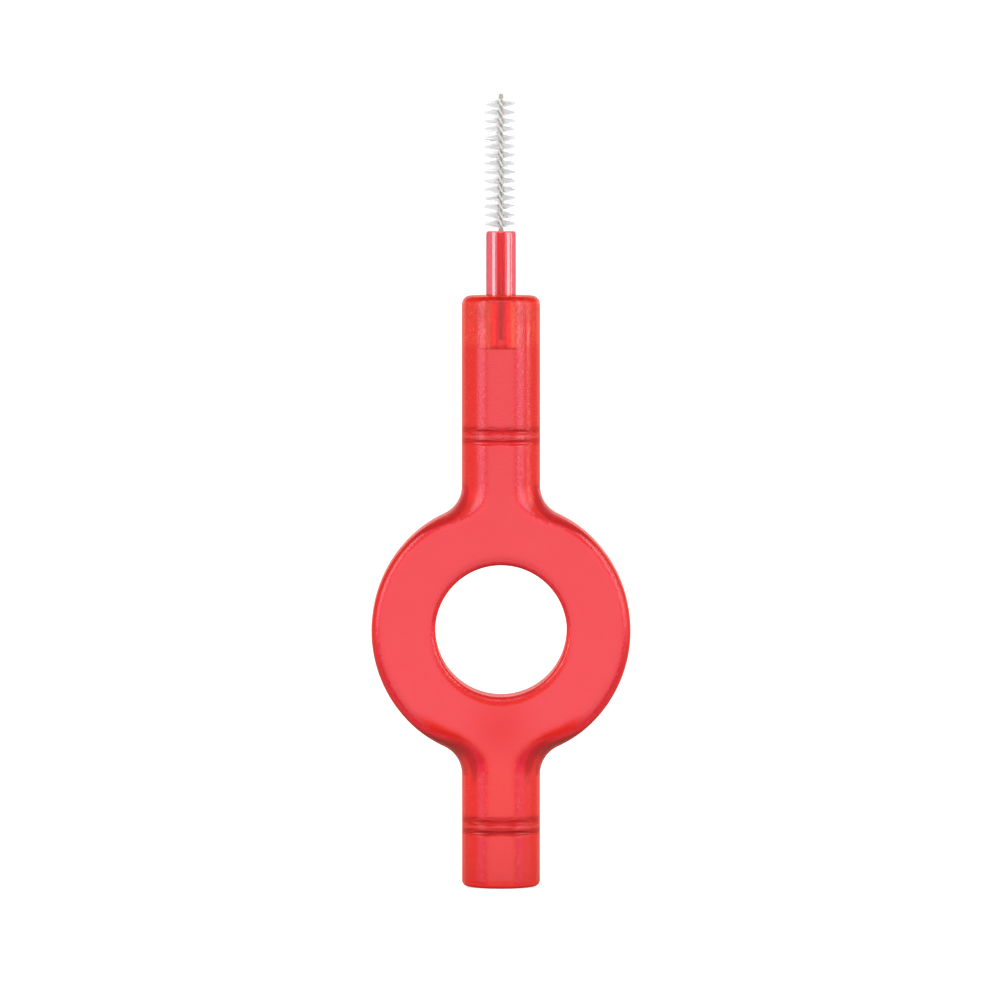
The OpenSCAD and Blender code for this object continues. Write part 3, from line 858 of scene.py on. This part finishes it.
# The lamps: name, place, width and height in metres, and radiance
LAMPS = (
    ("left softbox", (-0.34, -0.2, 0.19), (0.19, 0.4), 3.6),
    ("right softbox", (0.34, -0.2, 0.19), (0.19, 0.4), 3.5),
    ("right strip", (0.4, -0.01, 0.16), (0.05, 0.34), 4.5),
    ("upper panel", (0, -0.42, 0.5), (0.4, 0.3), 2.0),
)
# The point that the lamps face
LAMP_AIM = Vector((0, 0, 0.035))


def bend_at_neck(piece):
    """Bakes the piece's placement into its mesh."""
    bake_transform(piece)


class BRUSH_OT_handle(bpy.types.Operator):
    """Makes the moulded ring handle with its arms, grooves and socket"""
    bl_idname = "brush.handle"
    bl_label = "Ring handle"

    def execute(self, context):
        s = context.scene.brush_handle
        points, faces = handle_mesh(s)
        plastic = handle_plastic(s.tint, HANDLE_LOW.z, HANDLE_HIGH.z, SHANK_LOW.z)
        piece = make_piece("ring_handle_moulding", points, faces, plastic)
        mark_painted_shade(piece, HandleShape(s))
        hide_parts("ring_handle")
        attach(piece, "handle")
        return {"FINISHED"}


class BRUSH_OT_shank(bpy.types.Operator):
    """Makes the polished shank that is pushed into the handle"""
    bl_idname = "brush.shank"
    bl_label = "Brush shank"

    def execute(self, context):
        s = context.scene.brush_shank
        points, faces = shank_mesh(s)
        piece = make_piece("shank_moulding", points, faces, shank_plastic(s.tint, HANDLE_HIGH.z))
        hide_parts("brush_shank")
        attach(piece, "brush")
        return {"FINISHED"}


class BRUSH_OT_wire(bpy.types.Operator):
    """Makes the folded, twisted wire with its tail inside the shank"""
    bl_idname = "brush.wire"
    bl_label = "Twisted wire"

    def execute(self, context):
        s = context.scene.brush_wire
        points, faces = wire_mesh(s)
        low = s.first_row_z - PAST_ROW * s.pitch
        high = s.first_row_z + (ROW_TURNS + PAST_ROW) * s.pitch
        piece = make_piece("folded_wire", points, faces, drawn_steel(s.steel, SHANK_HIGH.z, low, high))
        store(piece, "height", vectors(piece.data.vertices, "co")[:, 2])
        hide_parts("twisted_wire", "wire_tail_in_shank")
        bend_at_neck(piece)
        return {"FINISHED"}


class BRUSH_OT_filaments(bpy.types.Operator):
    """Makes the fifteen rows of nylon filaments"""
    bl_idname = "brush.filaments"
    bl_label = "Filament rows"

    def execute(self, context):
        s, wire = context.scene.brush_filaments, context.scene.brush_wire
        finish = nylon(s.nylon)
        for index, node in enumerate(ROW_NODES):
            points, faces = row_mesh(s, wire, index)
            piece = make_piece(node.replace("filament", "nylon"), points, faces, finish)
            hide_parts(node)
            if points[:, 2].min() < SHANK_HIGH.z + wire.bend_h:
                bend_at_neck(piece)
            else:
                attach(piece, "tuft")
        return {"FINISHED"}


class BRUSH_OT_stage(bpy.types.Operator):
    """Makes the floor, the studio light and the camera"""
    bl_idname = "brush.stage"
    bl_label = "Stage"

    def execute(self, context):
        s, scene = context.scene.brush_stage, context.scene
        scene.view_settings.view_transform = "Standard"
        self.floor()
        self.world(scene)
        for lamp in LAMPS:
            self.lamp(*lamp)
        camera = bpy.data.objects.new("camera", bpy.data.cameras.new("camera"))
        scene.collection.objects.link(camera)
        camera.location = (s.camera_x, -s.camera_y, s.camera_z)
        drop = np.arctan2(s.camera_z - s.aim_z, s.camera_y)
        camera.rotation_euler = (np.pi / 2 - drop, 0, 0)
        camera.data.lens = s.lens
        camera.data.sensor_width = 36
        camera.data.clip_start = 0.01
        scene.camera = camera
        return {"FINISHED"}

    def floor(self):
        """A level sheet, x and y each from -FLOOR_HALF to FLOOR_HALF metres."""
        side = np.linspace(-FLOOR_HALF, FLOOR_HALF, FLOOR_POINTS)
        x, y = np.meshgrid(side, side)
        points = np.stack([x, y, np.zeros_like(x)], -1).reshape(-1, 3)
        floor = make_piece("studio_floor", points, grid_quads(FLOOR_POINTS, FLOOR_POINTS), floor_finish())

    def world(self, scene):
        """A white studio for camera rays, softer for scattered light. Rays through the plastic see it white
        near the level and dimmer high up and low down, by the smooth step of the direction's |z|. Reflections see a
        dim room that darkens towards the back, except straight behind, by smooth steps of y."""
        world = bpy.data.worlds.new("studio room")
        world.use_nodes = True
        scene.world = world
        n = Nodes(world.node_tree)
        path, way = n.add("ShaderNodeLightPath").outputs, n.parts(n.place("Generated"))
        dim = n.fade(way["Y"], *ROOM_Y, *ROOM_LEVELS, smooth=True)
        room = n.fade(way["Y"], *BEHIND_Y, low=dim, smooth=True)
        through = n.fade(n.math("ABSOLUTE", way["Z"]), *THROUGH_Z, *THROUGH_LEVELS, smooth=True)
        seen = n.between(path["Is Glossy Ray"], 1.0, room)
        seen = n.between(path["Is Diffuse Ray"], seen, SCATTERED)
        seen = n.between(path["Is Transmission Ray"], seen, through)
        back = n.tree.nodes["Background"]
        back.inputs["Color"].default_value = (1, 1, 1, 1)
        n.tree.links.new(seen, back.inputs["Strength"])

    def lamp(self, name, place, size, radiance):
        """An area lamp aimed at the brush. Its power is radiance * pi * area."""
        light = bpy.data.lights.new(name, "AREA")
        light.shape = "RECTANGLE"
        light.size, light.size_y = size
        light.energy = radiance * np.pi * size[0] * size[1]
        lamp = bpy.data.objects.new(name, light)
        lamp.visible_camera = False
        bpy.context.scene.collection.objects.link(lamp)
        lamp.location = place
        lamp.rotation_euler = (LAMP_AIM - Vector(place)).to_track_quat("-Z", "Y").to_euler()


class BRUSH_PT_pieces(bpy.types.Panel):
    """Lists the brush's pieces and their settings"""
    bl_idname = "BRUSH_PT_pieces"
    bl_label = "Interdental brush"
    bl_space_type = "VIEW_3D"
    bl_region_type = "UI"
    bl_category = "Brush"

    def draw(self, context):
        for operator, name, _ in PIECES:
            box = self.layout.box()
            box.operator(operator.bl_idname)
            settings = getattr(context.scene, name)
            for setting in settings.__annotations__:
                box.prop(settings, setting)


# Each operator with the name of its settings in the scene, and their class
PIECES = (
    (BRUSH_OT_handle, "brush_handle", HandleSettings),
    (BRUSH_OT_shank, "brush_shank", ShankSettings),
    (BRUSH_OT_wire, "brush_wire", WireSettings),
    (BRUSH_OT_filaments, "brush_filaments", FilamentSettings),
    (BRUSH_OT_stage, "brush_stage", StageSettings),
)


def register():
    """Adds the settings, the operators and the panel."""
    for operator, name, settings in PIECES:
        bpy.utils.register_class(settings)
        setattr(bpy.types.Scene, name, PointerProperty(type=settings))
        bpy.utils.register_class(operator)
    bpy.utils.register_class(BRUSH_PT_pieces)


def unregister():
    """Takes away what register adds, in the other order."""
    bpy.utils.unregister_class(BRUSH_PT_pieces)
    for operator, name, settings in reversed(PIECES):
        bpy.utils.unregister_class(operator)
        delattr(bpy.types.Scene, name)
        bpy.utils.unregister_class(settings)


def main():
    """Makes every piece in order."""
    register()
    bpy.ops.brush.handle()
    bpy.ops.brush.shank()
    bpy.ops.brush.wire()
    bpy.ops.brush.filaments()
    bpy.ops.brush.stage()


if __name__ == "__main__":
    main()
